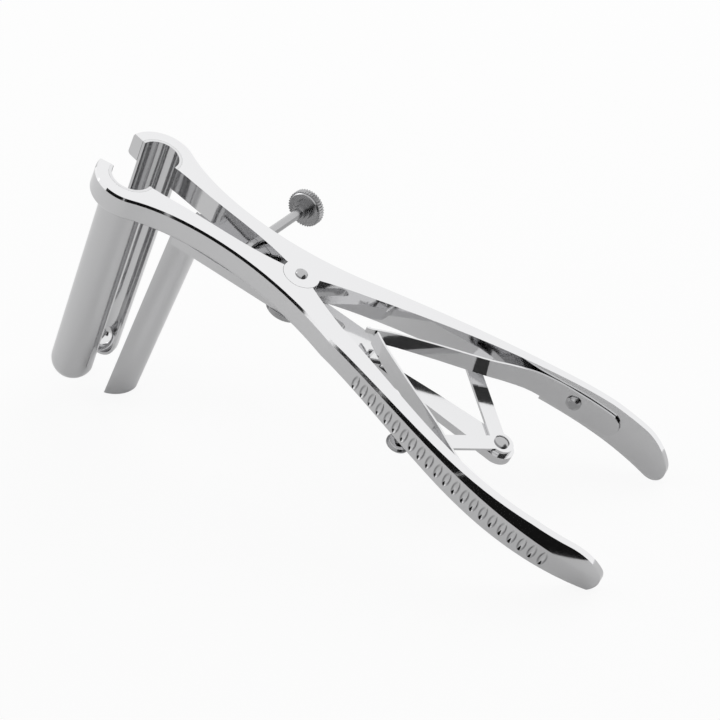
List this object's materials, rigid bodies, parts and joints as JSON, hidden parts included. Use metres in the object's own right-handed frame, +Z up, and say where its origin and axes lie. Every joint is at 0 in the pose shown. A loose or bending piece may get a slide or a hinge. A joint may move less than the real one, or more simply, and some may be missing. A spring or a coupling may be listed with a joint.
{
  "type": "three-blade speculum",
  "caption": "Polished steel speculum: two lever blades and a third blade on a sliding bar that spread together as the sprung handles are squeezed.",
  "frame": {"origin": "middle of the bounding box on the surface that the instrument stands on", "axes": "+X towards the handles, +Y to the thumb screw's side, +Z up; the levers slope down to the handle ends"},
  "size_m": [0.1984, 0.0676, 0.0889],
  "materials": {
    "polished_steel": "mirror-polished stainless steel",
    "spring_steel": "polished spring steel"
  },
  "bodies": {
    "bar": {"centre_bar": "polished_steel", "third_blade": "polished_steel", "toggle_screw": "polished_steel", "toggle_nut": "polished_steel"},
    "pivot_post": {"pivot_screw": "polished_steel", "pivot_nut": "polished_steel"},
    "near_side": {"near_lever": "polished_steel", "near_blade": "polished_steel", "near_spring": "spring_steel", "near_spring_screw": "polished_steel"},
    "far_side": {"far_lever": "polished_steel", "far_blade": "polished_steel", "far_spring": "spring_steel", "far_spring_screw": "polished_steel"},
    "near_toggle": {"near_link": "polished_steel", "near_link_screw": "polished_steel"},
    "far_toggle": {"far_link": "polished_steel", "far_link_screw": "polished_steel", "far_link_washer": "polished_steel"},
    "thumb": {"thumb_screw": "polished_steel", "thumb_knob": "polished_steel"}
  },
  "joints": [
    {"name": "bar_slide", "type": "slide", "parent": "bar", "child": "pivot_post", "axis": [-0.906, 0, 0.4233], "range_m": [-0.0103, 0.01112]},
    {"name": "near_lever_hinge", "type": "hinge", "parent": "pivot_post", "child": "near_side", "pos_m": [-0.01028, 0, 0.05647], "axis": [0.4233, 0, 0.906], "range_deg": [-7.4, 8], "deforming": ["near_spring"]},
    {"name": "far_lever_hinge", "type": "hinge", "parent": "pivot_post", "child": "far_side", "pos_m": [-0.01028, 0, 0.05647], "axis": [0.4233, 0, 0.906], "range_deg": [-8, 7.4], "deforming": ["far_spring"]},
    {"name": "near_link_hinge", "type": "hinge", "parent": "bar", "child": "near_toggle", "pos_m": [0.05607, 0, 0.01775], "axis": [0.4233, 0, 0.906], "range_deg": [-17.84, 16.51]},
    {"name": "far_link_hinge", "type": "hinge", "parent": "bar", "child": "far_toggle", "pos_m": [0.05607, 0, 0.01775], "axis": [0.4233, 0, 0.906], "range_deg": [-16.51, 17.84]},
    {"name": "thumb_screw_travel", "type": "slide", "parent": "far_side", "child": "thumb", "axis": [-0.0727, -0.9968, 0.0339], "range_m": [-0.00498, 0.00538]}
  ],
  "couplings": [
    {"joint": "far_lever_hinge", "follows": "near_lever_hinge", "ratio": -1},
    {"joint": "bar_slide", "follows": "near_lever_hinge", "m_per_rad": 0.078954},
    {"joint": "near_link_hinge", "follows": "near_lever_hinge", "ratio": -2.217},
    {"joint": "far_link_hinge", "follows": "near_lever_hinge", "ratio": 2.217},
    {"joint": "thumb_screw_travel", "follows": "near_lever_hinge", "m_per_rad": 0.037815}
  ]
}
